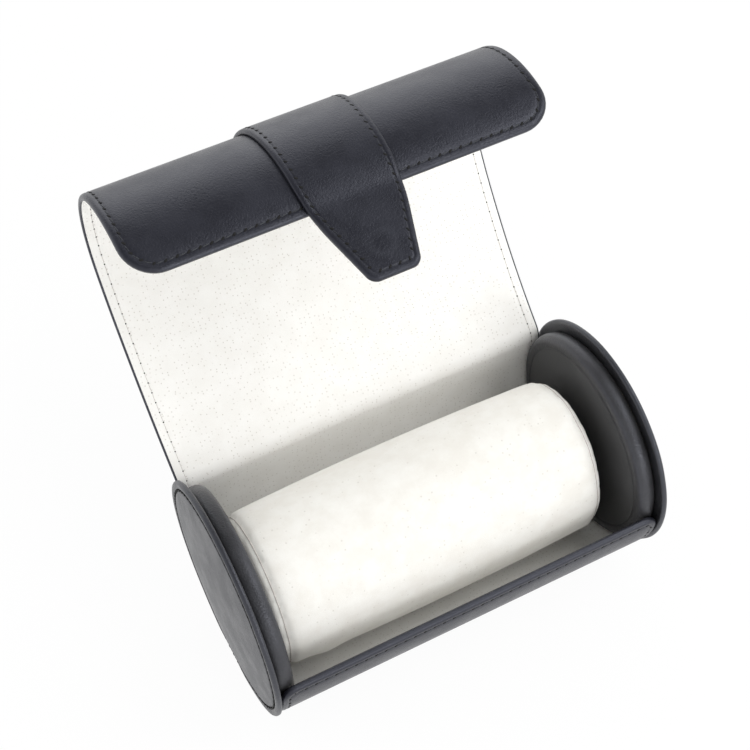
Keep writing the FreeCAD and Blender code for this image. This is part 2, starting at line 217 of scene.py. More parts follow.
def makePoreGroup(name, dimensions):
    # suede with small staggered pores, some of them missing
    group, start, end = newGroup(name, ("Vector", "Pores", "Size"),
                                 ("Pore", "Nap", "Mottle"))
    where = start.outputs["Vector"]
    dots = addNode(group, "ShaderNodeTexVoronoi",
                   {"Vector": where, "Scale": start.outputs["Pores"], "Randomness": 0.75},
                   feature="F1", voronoi_dimensions=dimensions)
    near = mathNode(group, "DIVIDE", dots.outputs["Distance"], start.outputs["Size"])
    inside = rangeNode(group, near, 0.55, 1.0, 1.0, 0.0)
    pick = addNode(group, "ShaderNodeSeparateColor", {0: dots.outputs["Color"]})
    kept = rangeNode(group, pick.outputs[0], 0.25, 0.75)
    nap = addNode(group, "ShaderNodeTexNoise",
                  {"Vector": where, "Scale": 3200.0, "Detail": 4.0, "Roughness": 0.7})
    broad = addNode(group, "ShaderNodeTexNoise",
                    {"Vector": where, "Scale": 120.0, "Detail": 5.0, "Roughness": 0.65})
    setInputs(group, end, {"Pore": mathNode(group, "MULTIPLY", inside, kept),
                           "Nap": nap.outputs["Fac"], "Mottle": broad.outputs["Fac"]})
    return group


grainGroup = makeGrainGroup()
poreGroups = {"UV": makePoreGroup("suedePoresFlat", "2D"),
              "Object": makePoreGroup("suedePores", "3D")}


def startMaterial(name, place):
    made = bpy.data.materials.new(name)
    made.use_nodes = True
    tree = made.node_tree
    shader = tree.nodes["Principled BSDF"]
    where = addNode(tree, "ShaderNodeTexCoord").outputs[place]
    return made, tree, shader, where


def setSurface(tree, shader, height, strength, distance, values):
    bump = addNode(tree, "ShaderNodeBump",
                   {"Height": height, "Strength": strength, "Distance": distance})
    setInputs(tree, shader, dict(values, Normal=bump.outputs["Normal"]))


def makeLeather(name, place, v):
    made, tree, shader, where = startMaterial(name, place)
    grain = addNode(tree, "ShaderNodeGroup",
                    {"Vector": where, "Cells": v["cells"], "Creases": v["creases"]},
                    node_tree=grainGroup)
    mottle = grain.outputs["Mottle"]
    colour = mixColour(tree, spreadNoise(tree, mottle), v["dark"], v["light"])
    # this attribute holds real edge wear and, on the tab, a painted highlight ring; both are
    # lightened towards the rubbed colour
    wearHighlightMask = addNode(tree, "ShaderNodeAttribute", attribute_name="wearAndHighlight").outputs["Fac"]
    wearHighlightMask = mathNode(tree, "MULTIPLY", wearHighlightMask, v["wearAndHighlight"])
    setSurface(tree, shader, grain.outputs["Height"], v["bump"], 0.00025, {
        "Base Color": mixColour(tree, wearHighlightMask, colour, v["rubbed"]),
        "Roughness": spreadNoise(tree, mottle, v["rough"] - 0.05, v["rough"] + 0.05),
        "IOR": v["ior"], "Specular Tint": v["glossTint"]})
    return made


def makeSuede(name, place, v):
    made, tree, shader, where = startMaterial(name, place)
    pores = addNode(tree, "ShaderNodeGroup",
                    {"Vector": where, "Pores": v["pores"], "Size": v["poreSize"]},
                    node_tree=poreGroups[place])
    pore, nap, mottle = (pores.outputs[key] for key in ("Pore", "Nap", "Mottle"))
    colour = mixColour(tree, spreadNoise(tree, mottle), v["dark"], v["light"])
    deep = mathNode(tree, "MULTIPLY", pore, v["poreDepth"])
    height = mathNode(tree, "MULTIPLY_ADD", pore, -1.6, nap)
    setSurface(tree, shader, height, v["bump"], 0.0002, {
        "Base Color": mixColour(tree, deep, colour, v["poreColour"]),
        "Roughness": spreadNoise(tree, nap, 0.82, 0.95), "Specular IOR Level": 0.25,
        "Sheen Weight": 0.25, "Sheen Roughness": 0.6})
    return made


def makePlain(name, v):
    # thread, board, foam and metal: two colours broken up by a fine noise
    made, tree, shader, where = startMaterial(name, "Object")
    stretch = addNode(tree, "ShaderNodeMapping",
                      {"Vector": where, "Scale": v.get("stretch", (1, 1, 1))})
    speck = addNode(tree, "ShaderNodeTexNoise",
                    {"Vector": stretch.outputs[0], "Scale": v["scale"],
                     "Detail": 4.0}).outputs["Fac"]
    setSurface(tree, shader, speck, v["bump"], 0.0002, {
        "Base Color": mixColour(tree, spreadNoise(tree, speck), v["dark"], v["light"]),
        "Roughness": spreadNoise(tree, speck, v["rough"] - 0.06, v["rough"] + 0.06),
        "Metallic": v.get("metal", 0.0)})
    return made


def rgb(red, green, blue):
    return (red, green, blue, 1.0)


lidLeatherValues = {
    "dark": rgb(0.0085, 0.0088, 0.0135), "light": rgb(0.0135, 0.014, 0.0205),
    "rubbed": rgb(0.045, 0.047, 0.058), "wearAndHighlight": 0.6, "rough": 0.36, "ior": 1.52,
    "glossTint": rgb(0.84, 0.87, 1.0), "cells": 1700.0, "creases": 1150.0,
    "bump": 0.24}
faceLeatherValues = dict(lidLeatherValues, dark=rgb(0.012, 0.012, 0.0135),
                         light=rgb(0.018, 0.018, 0.02), rough=0.38, ior=1.6, bump=0.26,
                         cells=1900.0, wearAndHighlight=0.35)
bandLeatherValues = dict(lidLeatherValues, dark=rgb(0.027, 0.027, 0.0285),
                         light=rgb(0.037, 0.037, 0.039), rough=0.4, cells=1500.0,
                         creases=520.0, bump=0.3, wearAndHighlight=0.3)
innerLeatherValues = dict(lidLeatherValues, dark=rgb(0.042, 0.042, 0.042),
                          light=rgb(0.055, 0.055, 0.054), rough=0.55, bump=0.12, wearAndHighlight=0.0)
liningValues = {
    "dark": rgb(0.865, 0.853, 0.82), "light": rgb(0.9, 0.892, 0.865),
    "poreColour": rgb(0.5, 0.47, 0.42), "poreDepth": 0.5, "pores": 640.0, "poreSize": 0.17,
    "bump": 0.14}
cushionSuedeValues = dict(liningValues, dark=rgb(0.79, 0.77, 0.72),
                          light=rgb(0.85, 0.84, 0.8), pores=560.0, poreSize=0.2,
                          poreDepth=0.35, bump=0.22)

plainValues = {
    # the thread's own colour is near black; the blue-grey of its lighter tone is partly
    # painted highlight for its glints
    "thread": {"dark": rgb(0.012, 0.013, 0.017), "light": rgb(0.038, 0.042, 0.052),
               "scale": 2500.0, "rough": 0.5, "bump": 0.4},
    "darkThread": {"dark": rgb(0.003, 0.003, 0.003), "light": rgb(0.009, 0.009, 0.009),
                   "scale": 2500.0, "rough": 0.6, "bump": 0.4},
    # near-black marks laid in the needle holes: painted shade
    "holeShade": {"dark": rgb(0.002, 0.002, 0.002), "light": rgb(0.006, 0.006, 0.006),
             "scale": 3000.0, "rough": 0.85, "bump": 0.2},
    "paleThread": {"dark": rgb(0.42, 0.38, 0.36), "light": rgb(0.6, 0.55, 0.52),
                   "scale": 2500.0, "rough": 0.7, "bump": 0.3},
    "greyBoard": {"dark": rgb(0.16, 0.145, 0.12), "light": rgb(0.26, 0.24, 0.2),
                  "scale": 900.0, "stretch": (1, 0.3, 0.3), "rough": 0.9, "bump": 0.5},
    "foam": {"dark": rgb(0.5, 0.47, 0.38), "light": rgb(0.68, 0.65, 0.55),
             "scale": 1400.0, "rough": 0.95, "bump": 0.8},
    "fibre": {"dark": rgb(0.72, 0.72, 0.7), "light": rgb(0.85, 0.85, 0.83),
              "scale": 700.0, "stretch": (0.3, 1, 1), "rough": 0.95, "bump": 0.8},
    "steel": {"dark": rgb(0.45, 0.45, 0.46), "light": rgb(0.62, 0.62, 0.63),
              "scale": 900.0, "stretch": (0.05, 1, 1), "rough": 0.32, "bump": 0.15,
              "metal": 1.0}}

materials = {name: make(name, place, v) for name, make, place, v in (
    ("wrapLeather", makeLeather, "UV", lidLeatherValues),
    ("faceLeather", makeLeather, "Object", faceLeatherValues),
    ("bandLeather", makeLeather, "Object", bandLeatherValues),
    ("innerLeather", makeLeather, "Object", innerLeatherValues),
    ("lining", makeSuede, "UV", liningValues),
    ("cushionSuede", makeSuede, "Object", cushionSuedeValues))}
materials.update((name, makePlain(name, v)) for name, v in plainValues.items())
print("materials made")


def dress(piece, material):
    piece.data.materials.clear()
    piece.data.materials.append(materials[material])


# one attribute for real edge wear and for the tab's painted highlight ring
def setWearAndHighlight(piece, values):
    layer = piece.data.attributes.new("wearAndHighlight", "FLOAT", "POINT")
    layer.data.foreach_set("value", np.asarray(values, np.float32))


# the wrap's path, from the lip under the foot and over the lid

class RollPath:
    # straight runs and arcs, each a length and how far it turns, drawn along the lining
    def __init__(self, start, heading, runs):
        self.runs, self.total = [], 0.0
        y, z = start
        heading = math.radians(heading)
        for length, turn in runs:
            turn = math.radians(turn)
            self.runs.append((self.total, length, y, z, heading, turn))
            y, z = self.step(y, z, heading, turn, length, length)
            heading += turn
            self.total += length

    @staticmethod
    def step(y, z, heading, turn, length, along):
        if abs(turn) < 1e-9:
            return y + along * np.cos(heading), z + along * np.sin(heading)
        radius = length / turn
        after = heading + turn * along / length
        return (y + radius * (np.sin(after) - np.sin(heading)),
                z - radius * (np.cos(after) - np.cos(heading)))

    def at(self, along):
        along = np.asarray(along, float)
        y, z, slope = np.zeros_like(along), np.zeros_like(along), np.zeros_like(along)
        for index, (start, length, y0, z0, heading, turn) in enumerate(self.runs):
            last = index == len(self.runs) - 1
            here = (along >= start) if last else (along >= start) & (along < start + length)
            here |= (along < 0) & (index == 0)
            part = along[here] - start
            y[here], z[here] = self.step(y0, z0, heading, turn, length, part)
            slope[here] = heading + turn * part / length
        return y, z, slope

    def place(self, x, along, out):
        y, z, slope = self.at(along)
        return np.stack([x, y + out * np.sin(slope), z - out * np.cos(slope) + axisZ], 1)


wrap = {"inner": 34.8, "lipTop": 2.15, "footCorner": 22.0, "cornerRadius": 15.57,
        "foot": 14.4, "hingeRise": 10.6, "hingeEase": 3.0, "thickness": 2.0,
        "halfWidth": 63.4, "rubbed": 1.1, "hingeReach": 7.0, "hingeZone": 5.0,
        "bendZone": 6.0, "rows": 1.0, "fixedRows": 2.0, "hingeRows": 0.45,
        "lengths": [17.5, 17.5, 17.5, 17.5, 25.5, 25.5, 26.0],
        "slopes": [37, 42, 47, 51, 60, 110, 163, 208]}


def wrapRuns():
    side = 90 - wrap["footCorner"]
    sideLength = wrap["inner"] * math.radians(side)
    cornerLength = wrap["cornerRadius"] * math.radians(wrap["footCorner"])
    ease, lengths, slopes = wrap["hingeEase"], wrap["lengths"], wrap["slopes"]
    afterEase = slopes[0] + (slopes[1] - slopes[0]) * ease / lengths[0]
    bend = math.radians(90 - afterEase)
    bendLength = bend * ease / math.tan(bend / 2)
    runs = [(wrap["lipTop"], 0), (sideLength, side), (cornerLength, wrap["footCorner"]),
            (wrap["foot"], 0), (cornerLength, wrap["footCorner"]), (sideLength, side),
            (wrap["hingeRise"] - ease, 0), (bendLength, -math.degrees(bend)),
            (lengths[0] - ease, slopes[1] - afterEase)]
    runs += [(lengths[i], slopes[i + 1] - slopes[i]) for i in range(1, len(lengths))]
    hinge = sum(length for length, turn in runs[:7]) + bendLength / 2
    joints = [hinge, sum(length for length, turn in runs[:9])]
    for length in lengths[1:]:
        joints.append(joints[-1] + length)
    return runs, joints


wrapRunList, jointAt = wrapRuns()
wrapPath = RollPath((-wrap["inner"], wrap["lipTop"]), -90, wrapRunList)
lidEnd = jointAt[-1]
sectionBodies = ["lid_back_1", "lid_back_2", "lid_back_3", "lid_back_4", "lid_top_1",
                 "lid_top_2", "lid_flap"]


def middleOf(index):
    return (jointAt[index] + jointAt[index + 1]) / 2


def flatPlate(name, v):
    # a flat plate with rounded corners and a shaped edge: x across, y along, z outwards
    side, near = v["side"], 0.01
    bpy.ops.mesh.primitive_plane_add(size=2, location=(0, 0, 0))
    plate = bpy.context.object
    plate.name = name
    openEdit(plate, "VERT")
    bpy.ops.transform.resize(value=(v["half"], (v["to"] - v["from"]) / 2, 1))
    bpy.ops.transform.translate(value=(0, (v["to"] + v["from"]) / 2, v["back"]))
    far = v["to"]
    if "taper" in v:
        choose(lambda p, n: p.y > far - near, "verts")
        bpy.ops.transform.resize(value=(v["taper"], 1, 1))
    if "tab" in v:
        # goes on as the narrowing tab
        choose(lambda p, n: p.y > far - near, "edges")
        extrudeBy((0, v["tab"]["length"], 0))
        bpy.ops.transform.resize(value=(v["tab"]["narrow"], 1, 1))
        choose(lambda p, n: abs(p.y - far) < near and abs(p.x) < near, "edges")
        bpy.ops.mesh.dissolve_edges(use_verts=False)
        choose(lambda p, n: abs(p.y - far) < near, "verts")
        bpy.ops.mesh.bevel(offset=v["tab"]["ease"], segments=8, affect="VERTICES")
        far += v["tab"]["length"]
    for place, radius in ((v["from"], v["startCorner"]), (far, v["endCorner"])):
        if radius:
            choose(lambda p, n: abs(p.y - place) < near, "verts")
            bpy.ops.mesh.bevel(offset=radius, segments=10, affect="VERTICES")
    bpy.ops.mesh.select_mode(type="FACE")
    selectAll()
    extrudeBy((0, 0, side * v["wall"]))
    selectAll()
    bpy.ops.mesh.normals_make_consistent(inside=False)
    choose(lambda p, n: n.z * side > 0.9)
    for width, rise in v["edge"]:
        bpy.ops.mesh.inset(thickness=width, depth=rise)
    choose(lambda p, n: n.z * side < -0.9)
    bpy.ops.mesh.inset(thickness=v["underEdge"][0], depth=v["underEdge"][1])
    return closeEdit()


def rollUp(piece, path, start=None, end=None, lift=None):
    # bends a flat piece along its path, keeping its flat surface as smooth as it was
    mesh = piece.data
    count = len(mesh.vertices)
    flat = np.zeros(count * 3)
    mesh.vertices.foreach_get("co", flat)
    flat = flat.reshape(-1, 3)
    normals = np.zeros((count, 3))
    for face in mesh.polygons:
        caps = [c for c in (start, end) if c is not None and abs(face.center.y - c) < 1e-3]
        if not caps:
            normals[list(face.vertices)] += np.array(face.normal) * face.area
    normals /= np.maximum(np.linalg.norm(normals, axis=1), 1e-9)[:, None]
    out = flat[:, 2].copy()
    if lift is not None:
        out = lift(flat[:, 0], flat[:, 1], out)
    slope = path.at(flat[:, 1])[2]
    turned = np.stack([normals[:, 0],
                       normals[:, 1] * np.cos(slope) + normals[:, 2] * np.sin(slope),
                       normals[:, 1] * np.sin(slope) - normals[:, 2] * np.cos(slope)], 1)
    layer = mesh.uv_layers.new(name="UVMap") if not mesh.uv_layers else mesh.uv_layers[0]
    corners = np.zeros(len(mesh.loops), int)
    mesh.loops.foreach_get("vertex_index", corners)
    layer.data.foreach_set("uv", (flat[corners, :2] * mm).ravel())
    placed = path.place(flat[:, 0], flat[:, 1], out)
    mesh.vertices.foreach_set("co", (placed * mm).ravel())
    mesh.flip_normals()
    mesh.polygons.foreach_set("use_smooth", np.ones(len(mesh.polygons), bool))
    mesh.update()
    if start is not None or end is not None:
        mesh.normals_split_custom_set_from_vertices(turned.tolist())


def cutStrip(plate, name, start, end, rows, columns=()):
    # one stretch of the plate, closed at both cuts, with rows of edges to bend at
    strip, spare = copyOf(plate, name), 0.05
    openEdit(strip)
    low = min(v.co.y for v in plate.data.vertices)
    high = max(v.co.y for v in plate.data.vertices)
    if start > low:
        cutAway((0, start, 0), (0, 1, 0), clear_inner=True)
    if end < high:
        cutAway((0, end, 0), (0, 1, 0), clear_outer=True)
    for row in rows:
        if max(start, low) + spare < row < min(end, high) - spare:
            bisectAll((0, row, 0), (0, 1, 0))
    for column in columns:
        bisectAll((column, 0, 0), (1, 0, 0))
    return closeEdit()


def rowsBetween(start, end, step):
    count = max(1, int(round((end - start) / step)))
    return [start + (end - start) * i / count for i in range(count + 1)]


def stripName(kind, first, second):
    return kind + "_" + (second or first).replace("lid_", "")


def joinedStrips(kind, plate, material, replaced, strips):
    # each strip bends across one joint
    for first, second, start, end, joint, zone in strips:
        step = wrap[{None: "fixedRows", "lid_back_1": "hingeRows"}.get(second, "rows")]
        strip = cutStrip(plate, stripName(kind, first, second), start, end,
                         rowsBetween(start, end, step))
        wearOfPlate(strip)
        rollUp(strip, wrapPath, start, end)
        dress(strip, material)
        attach(strip, first, second, wrapPath, joint, zone)
        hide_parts(*replaced(second or first))


def wearOfPlate(strip):
    # rubbed at the edges all round
    rubbed = []
    for vertex in strip.data.vertices:
        x, along = abs(vertex.co.x), vertex.co.y
        edge = min(wrap["halfWidth"] - x, along, lidEnd - along)
        rubbed.append(max(0.0, 1 - edge / wrap["rubbed"]))
    setWearAndHighlight(strip, rubbed)


def attach(piece, first, second, path, joint, zone):
    if second is None:
        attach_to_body(piece, first)
        return
    y, z, slope = path.at(np.array([joint - zone, joint + zone]))
    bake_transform(piece)


def lidStrips(low):
    # bodies on both sides, start, end, joint and half of the stretch that bends
    fixedEnd = jointAt[0] - wrap["hingeReach"]
    strips = [("case", None, low, fixedEnd, 0, 0),
              ("case", "lid_back_1", fixedEnd, middleOf(0), jointAt[0], wrap["hingeZone"])]
    for index in range(1, 7):
        end = middleOf(index) if index < 6 else lidEnd + 1
        strips.append((sectionBodies[index - 1], sectionBodies[index], middleOf(index - 1),
                       end, jointAt[index], wrap["bendZone"]))
    return strips


leatherPlate = {
    "side": 1, "half": wrap["halfWidth"], "from": 0.0, "to": lidEnd, "back": 0.42,
    "wall": 0.7, "startCorner": 5.0, "endCorner": 10.0,
    "edge": [(0.18, 0.38), (0.32, 0.32), (0.5, 0.16), (0.4, 0.04), (0.5, -0.06),
             (0.4, -0.13), (0.4, 0.09), (0.6, 0.08), (0.8, 0.02)],
    "underEdge": (0.3, 0.34)}
liningPlate = {
    "side": -1, "half": 62.9, "from": 2.3, "to": lidEnd - 1.2, "back": 0.5, "wall": 0.35,
    "startCorner": 3.4, "endCorner": 8.8,
    "edge": [(0.12, 0.1), (0.4, 0.1), (1.9, 0.02), (0.35, -0.14), (0.35, 0.14), (0.8, 0.0)],
    "underEdge": (0.1, 0.02)}

wholeLeather = flatPlate("wholeLeather", leatherPlate)
joinedStrips("leather", wholeLeather, "wrapLeather",
             lambda body: (["base_leather", "base_board"] if body == "case" else
                           [body + "_leather", body + "_board"]), lidStrips(0.0))
wholeLining = flatPlate("wholeLining", liningPlate)
joinedStrips("lining", wholeLining, "lining",
             lambda body: (["base_lining"] if body == "case" else [body + "_lining"]),
             lidStrips(liningPlate["from"]))
discard(wholeLeather, wholeLining)
print("wrap made")

# strap and tab

# the ring's colour strength and width paint a highlight round the magnet's dent
strapValues = {
    "startAngle": 75.69, "half": 16.5, "edgeHalf": 14.5, "tipHalf": 7.25, "tabLength": 25.0,
    "cornerEase": 1.8, "tabSlope": 194.0, "thicken": 0.46, "thickenBefore": 2,
    "thickenOver": 7.0, "dimpleFromTip": 9.2, "dimpleDepth": 0.45, "dimpleSize": 1.9,
    "ringRise": 0.24, "ringSize": 3.6, "ringWidth": 1.3, "ringHighlight": 0.4,
    "ringHighlightWidth": 0.9, "bendZone": 6.0, "tabZone": 3.5, "rows": 0.8, "columns": 0.9}


def strapRuns():
    # the same arcs on the outside of the lid, then the tab, a little less steep
    lengths, slopes = wrap["lengths"], wrap["slopes"]
    radii = [lengths[i] / math.radians(slopes[i + 1] - slopes[i]) + wrap["thickness"]
             for i in (4, 5, 6)]
    ease = strapValues["cornerEase"]
    back = math.degrees(ease / radii[2])
    bend = slopes[7] - back - strapValues["tabSlope"]
    bendLength = 2 * ease
    runs = [(radii[0] * math.radians(slopes[5] - strapValues["startAngle"]),
             slopes[5] - strapValues["startAngle"]),
            (radii[1] * math.radians(slopes[6] - slopes[5]), slopes[6] - slopes[5]),
            (radii[2] * math.radians(slopes[7] - slopes[6] - back),
             slopes[7] - slopes[6] - back),
            (bendLength, -bend), (strapValues["tabLength"] - ease, 0)]
    joints = [runs[0][0], runs[0][0] + runs[1][0],
              sum(length for length, turn in runs[:3]) + ease]
    return runs, joints


def strapStart():
    # where the strap begins, on the outside of the first top section
    share = ((strapValues["startAngle"] - wrap["slopes"][4])
             / (wrap["slopes"][5] - wrap["slopes"][4]))
    along = jointAt[4] + share * wrap["lengths"][4]
    y, z, slope = wrapPath.at(np.array([along]))
    out = wrap["thickness"]
    return float(y[0] + out * math.sin(slope[0])), float(z[0] - out * math.cos(slope[0]))


strapRunList, strapJoints = strapRuns()
strapPath = RollPath(strapStart(), strapValues["startAngle"], strapRunList)
strapTip = strapPath.total


def liftTab(x, along, out):
    # thicker past the lid's edge, on top with the magnet's dent and the ring round it
    v = strapValues
    past = along - strapJoints[2] + v["thickenBefore"]
    grown = out * (1 + v["thicken"] * smoothStep(past / v["thickenOver"]))
    away = np.hypot(x, along - (strapTip - v["dimpleFromTip"]))
    top = out > 0.9
    grown[top] -= v["dimpleDepth"] * np.exp(-(away[top] / v["dimpleSize"]) ** 2)
    grown[top] += v["ringRise"] * np.exp(-((away[top] - v["ringSize"]) / v["ringWidth"]) ** 2)
    return grown


strapPlate = {
    "side": 1, "half": strapValues["half"], "from": 0.0, "to": strapJoints[2], "back": 0.3,
    "wall": 0.45, "startCorner": 3.2, "endCorner": 2.4,
    "taper": strapValues["edgeHalf"] / strapValues["half"],
    "tab": {"length": strapTip - strapJoints[2],
            "narrow": strapValues["tipHalf"] / strapValues["edgeHalf"], "ease": 9.0},
    "edge": [(0.12, 0.34), (0.25, 0.3), (0.4, 0.16), (0.5, 0.05), (0.3, -0.06), (0.25, -0.1),
             (0.25, 0.1), (0.35, 0.07)],
    "underEdge": (0.3, 0.24)}
wholeStrap = flatPlate("wholeStrap", strapPlate)


def middleOfStrap(index):
    return (strapJoints[index] + strapJoints[index + 1]) / 2


def wearAndHighlightOfStrap(place):
    # rubbed along the long edges, with a painted highlight on the ring that the magnet raises
    v = strapValues
    away = math.hypot(place.x, place.y - (strapTip - v["dimpleFromTip"]))
    # painted highlight on the ring round the magnet's dent, lighter as the raised ring's
    # shading would be
    ring = v["ringHighlight"] * math.exp(-((away - v["ringSize"]) / v["ringHighlightWidth"]) ** 2)
    return max(0.0, 1 - (v["half"] - abs(place.x)) / wrap["rubbed"], ring)


strapStrips = [("lid_top_1", "lid_top_2", 0.0, middleOfStrap(0), strapJoints[0],
                strapValues["bendZone"]),
               ("lid_top_2", "lid_flap", middleOfStrap(0), middleOfStrap(1), strapJoints[1],
                strapValues["bendZone"]),
               ("lid_flap", "tab", middleOfStrap(1), strapTip + 1, strapJoints[2],
                strapValues["tabZone"])]
strapStands = [["strap_top_1"], ["strap_top_2"], ["strap_flap", "tab_leather", "tab_backing"]]
for (first, second, start, end, joint, zone), stands in zip(strapStrips, strapStands):
    rows = rowsBetween(start, min(end, strapTip), strapValues["rows"])
    columns = [x * strapValues["columns"] for x in range(-7, 8)] if second == "tab" else ()
    strip = cutStrip(wholeStrap, stripName("strap", first, second), start, end, rows,
                     columns)
    setWearAndHighlight(strip, [wearAndHighlightOfStrap(v.co) for v in strip.data.vertices])
    rollUp(strip, strapPath, start, end, lift=liftTab)
    if second == "tab":
        strip.data.normals_split_custom_set([(0, 0, 0)] * len(strip.data.loops))
        strip.data.shade_smooth()
    dress(strip, "wrapLeather")
    attach(strip, first, second, strapPath, joint, zone)
    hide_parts(*stands)
discard(wholeStrap)
print("strap made")

# stitches

stitchValues = {"pitch": 3.2, "length": 2.5, "thick": 0.42, "slant": 10.0, "inset": 2.35,
                "holeSize": 0.8, "holeFlat": 0.58, "holeSlant": -40.0, "threadOut": 1.82,
                "holeOut": 1.78, "dotSize": (0.5, 0.5, 0.3), "lineSize": (3.0, 0.16, 0.16),
                "liningInset": 2.6, "lineOut": -0.01, "dotOut": -0.02, "lipFrom": -58.5,
                "lipDots": 37, "lipInset": 1.45, "lipOut": 0.04, "strapPitch": 2.9,
                "strapInset": 2.2, "strapThreadOut": 1.4, "strapHoleOut": 1.42}


def roundTemplate(name, size, segments=8, rings=5):
    # a small rounded grain that threads and the near-black painted shade of needle holes are
    # copied from
    bpy.ops.mesh.primitive_uv_sphere_add(segments=segments, ring_count=rings, radius=0.5,
                                         location=(0, 0, 0))
    grain = bpy.context.object
    grain.name = name
    openEdit(grain, "VERT")
    bpy.ops.transform.rotate(value=math.pi / 2, orient_axis="Y", center_override=(0, 0, 0))
    bpy.ops.transform.resize(value=size, center_override=(0, 0, 0))
    closeEdit()
    grain.data.shade_smooth()
    return grain


def copiesAt(name, template, places):
    # one copy with its own mesh at each place, joined into a single piece
    copies = []
    for place in places:
        twin = copyOf(template, name)
        twin.matrix_world = place
        copies.append(twin)
    onlySelect(*copies)
    if len(copies) > 1:
        bpy.ops.object.join()
    bpy.ops.object.transform_apply(location=True, rotation=True, scale=True)
    made = bpy.context.object
    made.name = name
    return made


def alongLine(points, pitch):
    # evenly spaced places with their direction along a closed line of points
    points = points + points[:1]
    steps = [math.dist(points[i], points[i + 1]) for i in range(len(points) - 1)]
    total = sum(steps)
    count = max(1, int(round(total / pitch)))
    places, index, passed = [], 0, 0.0
    for number in range(count):
        target = total * (number + 0.5) / count
        while index < len(steps) - 1 and passed + steps[index] < target:
            passed += steps[index]
            index += 1
        share = (target - passed) / max(steps[index], 1e-9)
        a, b = points[index], points[index + 1]
        places.append((a[0] + (b[0] - a[0]) * share, a[1] + (b[1] - a[1]) * share,
                       math.atan2(b[1] - a[1], b[0] - a[0])))
    return places


def roundedOutline(half, start, end, startCorner, endCorner, inset):
    # the outline of a plate, drawn in by the inset
    half, start, end = half - inset, start + inset, end - inset
    low, high = max(startCorner - inset, 0.3), max(endCorner - inset, 0.3)
    points = []
    for cx, cy, radius, first in ((half - high, end - high, high, 0),
                                  (-half + high, end - high, high, 90),
                                  (-half + low, start + low, low, 180),
                                  (half - low, start + low, low, 270)):
        for step in range(9):
            angle = math.radians(first + step * 90 / 8)
            points.append((cx + radius * math.cos(angle), cy + radius * math.sin(angle)))
    return points


def stitchPlaces(spots, height, slant, shift):
    made = []
    for x, y, angle in spots:
        x, y = x + math.cos(angle) * shift, y + math.sin(angle) * shift
        made.append(Matrix.Translation((x, y, height))
                    @ Matrix.Rotation(angle + math.radians(slant), 4, "Z"))
    return made


s = stitchValues
threadGrain = roundTemplate("threadGrain", (s["length"], s["thick"], s["thick"]))
holeShadeGrain = roundTemplate("holeShadeGrain", (s["holeSize"] * 2, s["holeSize"], s["holeFlat"]))
dotGrain = roundTemplate("dotGrain", s["dotSize"], 6, 4)
lineGrain = roundTemplate("lineGrain", s["lineSize"], 6, 4)


def stitchStrips(kind, spots, path, strips, looks, lift=None):
    # threads and the painted shade of needle holes for every strip, bent as the strip is
    for first, second, start, end, joint, zone in strips:
        here = [s for s in spots if start <= s[1] < end]
        if not here:
            continue
        for part, template, height, material, slant, shift in looks:
            piece = copiesAt(stripName(kind + "_" + part, first, second), template,
                             stitchPlaces(here, height, slant, shift))
            rollUp(piece, path, lift=lift)
            dress(piece, material)
            attach(piece, first, second, path, joint, zone)


def outlineOf(plate, inset):
    return alongLine(roundedOutline(plate["half"], plate["from"], plate["to"],
                                    plate["startCorner"], plate["endCorner"], inset),
                     s["pitch"])


# the near-black marks at each needle hole paint the shade in the holes
stitchStrips("stitch", outlineOf(leatherPlate, s["inset"]), wrapPath, lidStrips(0.0), [
    ("thread", threadGrain, s["threadOut"], "thread", -s["slant"], 0.0),
    ("holeShade", holeShadeGrain, s["holeOut"], "holeShade", s["holeSlant"], s["pitch"] / 2)])
# on the lining the dark dots at the holes are painted shade, with pale thread between them
stitchStrips("inside", outlineOf(liningPlate, s["liningInset"]), wrapPath,
             lidStrips(liningPlate["from"]), [
                 ("thread", lineGrain, s["lineOut"], "paleThread", 0.0, s["pitch"] / 2),
                 ("dot", dotGrain, s["dotOut"], "holeShade", 0.0, 0.0)])
# the thread of the front edge comes out as small dots inside the lip
lipSpots = [(s["lipFrom"] + i * s["pitch"], s["lipInset"], 0.0) for i in range(s["lipDots"])]
stitchStrips("lip", lipSpots, wrapPath, lidStrips(0.0)[:1], [
    ("dot", dotGrain, s["lipOut"], "paleThread", 0.0, 0.0)])


def strapOutline(inset):
    # both long sides, drawn in at the eased corners, and the tip, then the sewn start
    v = strapValues
    root, tip = strapJoints[2], strapTip
    lean = math.atan2(v["edgeHalf"] - v["tipHalf"], tip - root)
    side = [(v["half"] - inset, inset), (v["edgeHalf"] - inset, root - 2.5),
            (v["edgeHalf"] - inset - 0.45, root + 2.0),
            (v["tipHalf"] - inset / math.cos(lean) + 0.9, tip - inset - 1.3),
            (v["tipHalf"] - inset - 0.7, tip - inset)]
    return side + [(-x, y) for x, y in reversed(side)]


strapLine = alongLine(strapOutline(s["strapInset"]), s["strapPitch"])
# the strap's needle holes get the same painted shade
stitchStrips("strapstitch", strapLine, strapPath,
             [(a, b, max(start, -1), end, joint, zone)
              for a, b, start, end, joint, zone in strapStrips],
             [("thread", threadGrain, s["strapThreadOut"], "thread", -s["slant"], 0.0),
              ("holeShade", holeShadeGrain, s["strapHoleOut"], "holeShade", s["holeSlant"],
               s["strapPitch"] / 2)], lift=liftTab)
print("stitches made")


# padded ends

